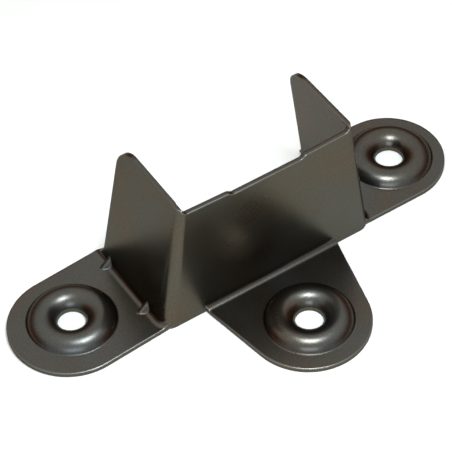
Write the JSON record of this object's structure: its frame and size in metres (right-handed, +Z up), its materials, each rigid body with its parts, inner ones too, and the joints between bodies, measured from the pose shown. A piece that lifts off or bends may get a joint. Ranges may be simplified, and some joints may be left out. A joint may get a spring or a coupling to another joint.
{
  "type": "bed rail bracket",
  "caption": "Folded sheet steel socket for the end of a bed rail, with two leaning wings, an open back and three screw feet with raised rings.",
  "frame": {"origin": "midway between the two side screw holes, in the plane of the undersides of the feet", "axes": "+X along the plate to the right foot, +Y from the plate to the open back of the socket, +Z up from the mounting surface"},
  "size_m": [0.1014, 0.0516, 0.032],
  "materials": {
    "burnished_steel": "dark brown-black burnished steel, semi-gloss"
  },
  "bodies": {
    "root": {"rail_bracket": "burnished_steel"}
  },
  "joints": []
}
